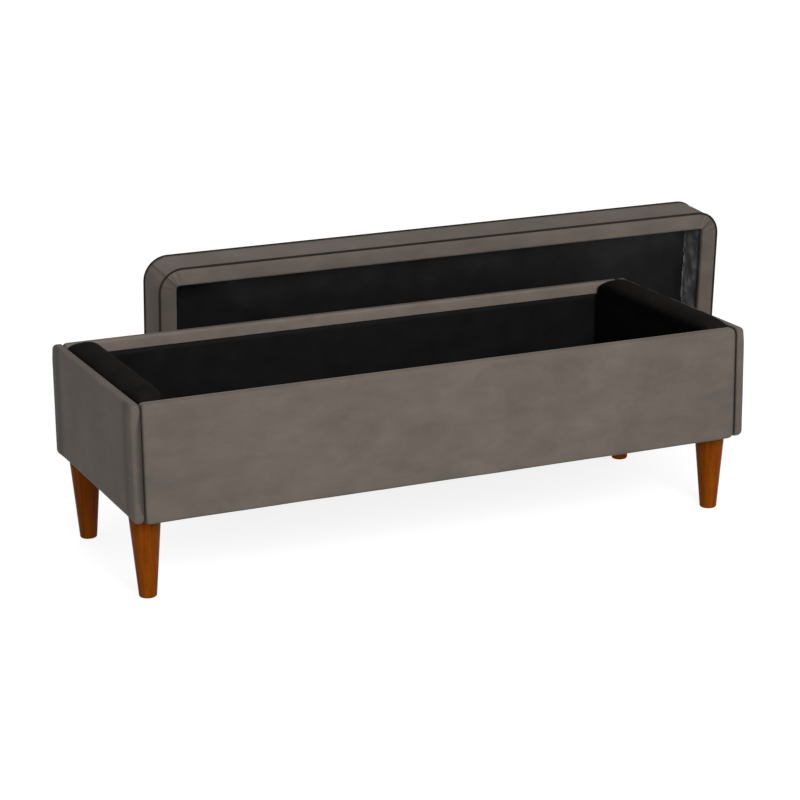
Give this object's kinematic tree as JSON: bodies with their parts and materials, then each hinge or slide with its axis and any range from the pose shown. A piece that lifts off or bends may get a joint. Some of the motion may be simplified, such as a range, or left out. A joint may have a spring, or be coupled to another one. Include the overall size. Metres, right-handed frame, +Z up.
{
  "type": "upholstered storage bench",
  "caption": "Long upholstered storage bench on tapered wooden legs, open, its loose padded lid standing on the floor behind and leaning on the back rim.",
  "frame": {"origin": "centre of the bench's own footprint, without the lid, on the floor", "axes": "+X along the bench to the right seen from the front, +Y from the front to the back, +Z up"},
  "size_m": [1.4184, 0.5955, 0.4897],
  "materials": {
    "taupe_suede": "soft suede-like upholstery fabric, faintly mottled",
    "dark_piping": "narrow piping of the same suede, darker in its seam",
    "black_bolster_cloth": "matte black padded cloth",
    "black_nonwoven": "thin black nonwoven cloth",
    "foam": "open cell foam",
    "frame_pine": "sawn pine",
    "panel_board": "particle board",
    "varnished_wood": "warm brown varnish over turned wood, semi gloss",
    "zinc_steel": "zinc plated",
    "glide_plastic": "black plastic"
  },
  "bodies": {
    "bench": {"front_board": "panel_board", "back_board": "panel_board", "left_end_board": "panel_board", "right_end_board": "panel_board", "bottom_board": "panel_board", "left_frame_rails": "frame_pine", "right_frame_rails": "frame_pine", "left_frame_posts": "frame_pine", "right_frame_posts": "frame_pine", "frame_screws": "zinc_steel", "front_foam": "foam", "back_foam": "foam", "left_end_foam": "foam", "right_end_foam": "foam", "front_edge_roll": "foam", "front_cover": "taupe_suede", "back_cover": "taupe_suede", "left_end_cover": "taupe_suede", "right_end_cover": "taupe_suede", "front_lining": "black_nonwoven", "back_lining": "black_nonwoven", "floor_lining": "black_nonwoven", "left_wall_lining": "black_bolster_cloth", "right_wall_lining": "black_bolster_cloth", "left_bolster_foam": "foam", "right_bolster_foam": "foam", "left_bolster_cover": "black_bolster_cloth", "right_bolster_cover": "black_bolster_cloth", "dust_cover": "black_nonwoven", "dust_cover_staples": "zinc_steel", "front_left_leg": "varnished_wood", "front_right_leg": "varnished_wood", "back_left_leg": "varnished_wood", "back_right_leg": "varnished_wood", "leg_bolts": "zinc_steel", "leg_inserts": "zinc_steel", "leg_glides": "glide_plastic"},
    "rim_roll": {"back_edge_roll": "foam"},
    "lid": {"lid_front_rail": "frame_pine", "lid_back_rail": "frame_pine", "lid_left_rail": "frame_pine", "lid_right_rail": "frame_pine", "lid_corner_blocks": "frame_pine", "lid_deck": "panel_board", "lid_deck_screws": "zinc_steel", "lid_seat_foam": "foam", "lid_band_foam": "foam", "lid_seat_cover": "taupe_suede", "lid_band": "taupe_suede", "lid_border": "taupe_suede", "lid_seat_piping": "dark_piping", "lid_under_piping": "dark_piping", "lid_deck_lining": "black_nonwoven", "lid_wall_lining": "black_nonwoven", "lid_staples": "zinc_steel"}
  },
  "joints": [
    {"name": "lid_tip", "type": "hinge", "parent": "bench", "child": "rim_roll", "pos_m": [0, 0.228, 0.357], "axis": [1, 0, 0], "range_deg": [0, 85.5], "deforming": ["left_bolster_foam", "left_bolster_cover", "right_bolster_foam", "right_bolster_cover"]},
    {"name": "lid_slide", "type": "slide", "parent": "rim_roll", "child": "lid", "axis": [-0.5275, -0.0667, 0.8469], "range_m": [0, 0.40568]}
  ]
}
